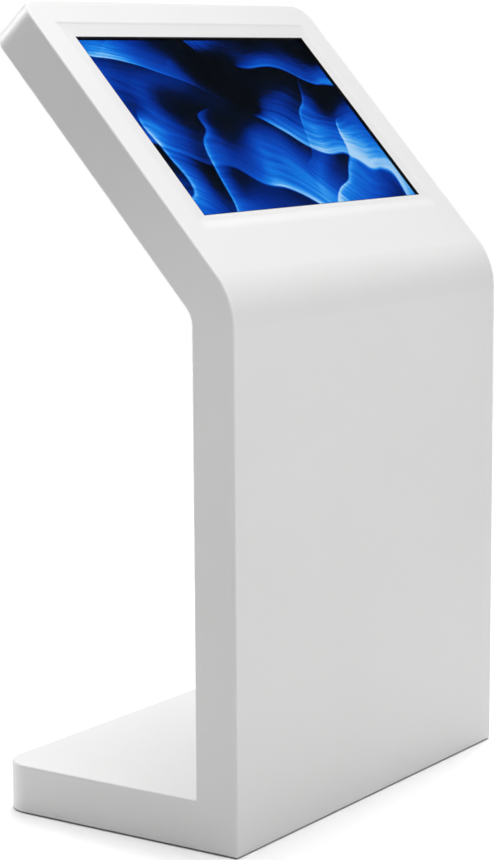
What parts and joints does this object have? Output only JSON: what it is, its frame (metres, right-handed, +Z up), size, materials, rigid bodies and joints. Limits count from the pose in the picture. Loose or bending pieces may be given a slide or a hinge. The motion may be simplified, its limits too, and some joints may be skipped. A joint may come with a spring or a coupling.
{
  "type": "interactive touch kiosk",
  "caption": "Floor-standing touch kiosk: a thick bent board with a leaning display head, slim column and rear base, with a service door, cooling fan, mains inlet and levelling feet.",
  "frame": {"origin": "middle of the footprint on the floor, under the middle of the bounding box", "axes": "+X to the right when facing the screen, front faces -Y, +Y towards the back end of the base, +Z up"},
  "size_m": [0.87, 0.5134, 1.4127],
  "materials": {
    "white_paint": "satin white powder coat",
    "zinc_steel": "zinc plated",
    "plated_screw": "plated",
    "hinge_steel": "satin",
    "black_rubber": "matte",
    "clear_glass": "clear, polished",
    "screen_black": "dark display face",
    "white_plastic": "matte",
    "aluminium_case": "plain",
    "dark_aluminium": "anodised dark",
    "green_board": "solder mask",
    "brass": "plain",
    "black_plastic": "matte",
    "red_plastic": "gloss",
    "cable_black": "jacket"
  },
  "bodies": {
    "kiosk": {"front_shell": "white_paint", "left_side_panel": "white_paint", "right_side_panel": "white_paint", "left_head_side": "white_paint", "right_head_side": "white_paint", "head_end_cap": "white_paint", "base_end_cap": "white_paint", "column_rear_panel": "white_paint", "head_rear_panel": "white_paint", "base_top_panel": "white_paint", "base_plate": "zinc_steel", "left_frame": "zinc_steel", "right_frame": "zinc_steel", "frame_crossbars": "zinc_steel", "display_bezel": "white_paint", "glass_gasket": "black_rubber", "touch_glass": "clear_glass", "lcd_panel": "screen_black", "backlight_diffuser": "white_plastic", "lcd_tray": "aluminium_case", "display_rails": "zinc_steel", "display_screws": "plated_screw", "controller_board": "green_board", "board_standoffs": "brass", "cover_ledge": "zinc_steel", "head_rear_cover": "white_paint", "cover_screws": "plated_screw", "fan_frame": "black_plastic", "fan_guard": "hinge_steel", "fan_screws": "plated_screw", "hinge_frame_leaves": "hinge_steel", "hinge_pins": "plated_screw", "hinge_frame_screws": "plated_screw", "button_housing": "hinge_steel", "button_nut": "plated_screw", "mains_inlet": "black_plastic", "inlet_pins": "brass", "inlet_screws": "plated_screw", "equipment_plate": "zinc_steel", "plate_standoffs": "zinc_steel", "mini_pc": "dark_aluminium", "power_supply": "aluminium_case", "mains_cable": "cable_black", "dc_cable": "cable_black", "display_cable": "cable_black", "foot_brackets": "zinc_steel"},
    "door": {"service_door": "white_paint", "hinge_door_leaves": "hinge_steel", "hinge_door_screws": "plated_screw", "lock_barrel": "hinge_steel", "lock_nut": "plated_screw"},
    "lock": {"lock_plug": "brass", "lock_cam": "plated_screw"},
    "fan": {"fan_rotor": "black_plastic"},
    "power_button": {"button_cap": "hinge_steel"},
    "mains_switch": {"inlet_rocker": "red_plastic"},
    "foot_front_left": {"front_left_foot": "black_plastic"},
    "foot_front_right": {"front_right_foot": "black_plastic"},
    "foot_rear_left": {"rear_left_foot": "black_plastic"},
    "foot_rear_right": {"rear_right_foot": "black_plastic"}
  },
  "joints": [
    {"name": "door_hinge", "type": "hinge", "parent": "kiosk", "child": "door", "pos_m": [0.279, -0.16795, 0.438], "axis": [0, 0, -1], "range_deg": [0, 110]},
    {"name": "lock_turn", "type": "hinge", "parent": "door", "child": "lock", "pos_m": [-0.256, -0.17275, 0.438], "axis": [0, -1, 0], "range_deg": [0, 90]},
    {"name": "fan_spin", "type": "hinge", "parent": "kiosk", "child": "fan", "pos_m": [0, 0.04185, 1.15901], "axis": [0, 0.7431, -0.6691], "continuous": true},
    {"name": "power_press", "type": "slide", "parent": "kiosk", "child": "power_button", "axis": [0, -1, 0], "range_m": [0, 0.002], "stiffness_N_per_m": 1000, "springref_m": -0.002},
    {"name": "mains_rock", "type": "hinge", "parent": "kiosk", "child": "mains_switch", "pos_m": [-0.155, 0.25075, 0.045], "axis": [-1, 0, 0], "range_deg": [0, 14]},
    {"name": "front_left_level", "type": "slide", "parent": "kiosk", "child": "foot_front_left", "axis": [0, 0, -1], "range_m": [0, 0.012]},
    {"name": "front_right_level", "type": "slide", "parent": "kiosk", "child": "foot_front_right", "axis": [0, 0, -1], "range_m": [0, 0.012]},
    {"name": "rear_left_level", "type": "slide", "parent": "kiosk", "child": "foot_rear_left", "axis": [0, 0, -1], "range_m": [0, 0.012]},
    {"name": "rear_right_level", "type": "slide", "parent": "kiosk", "child": "foot_rear_right", "axis": [0, 0, -1], "range_m": [0, 0.012]}
  ]
}
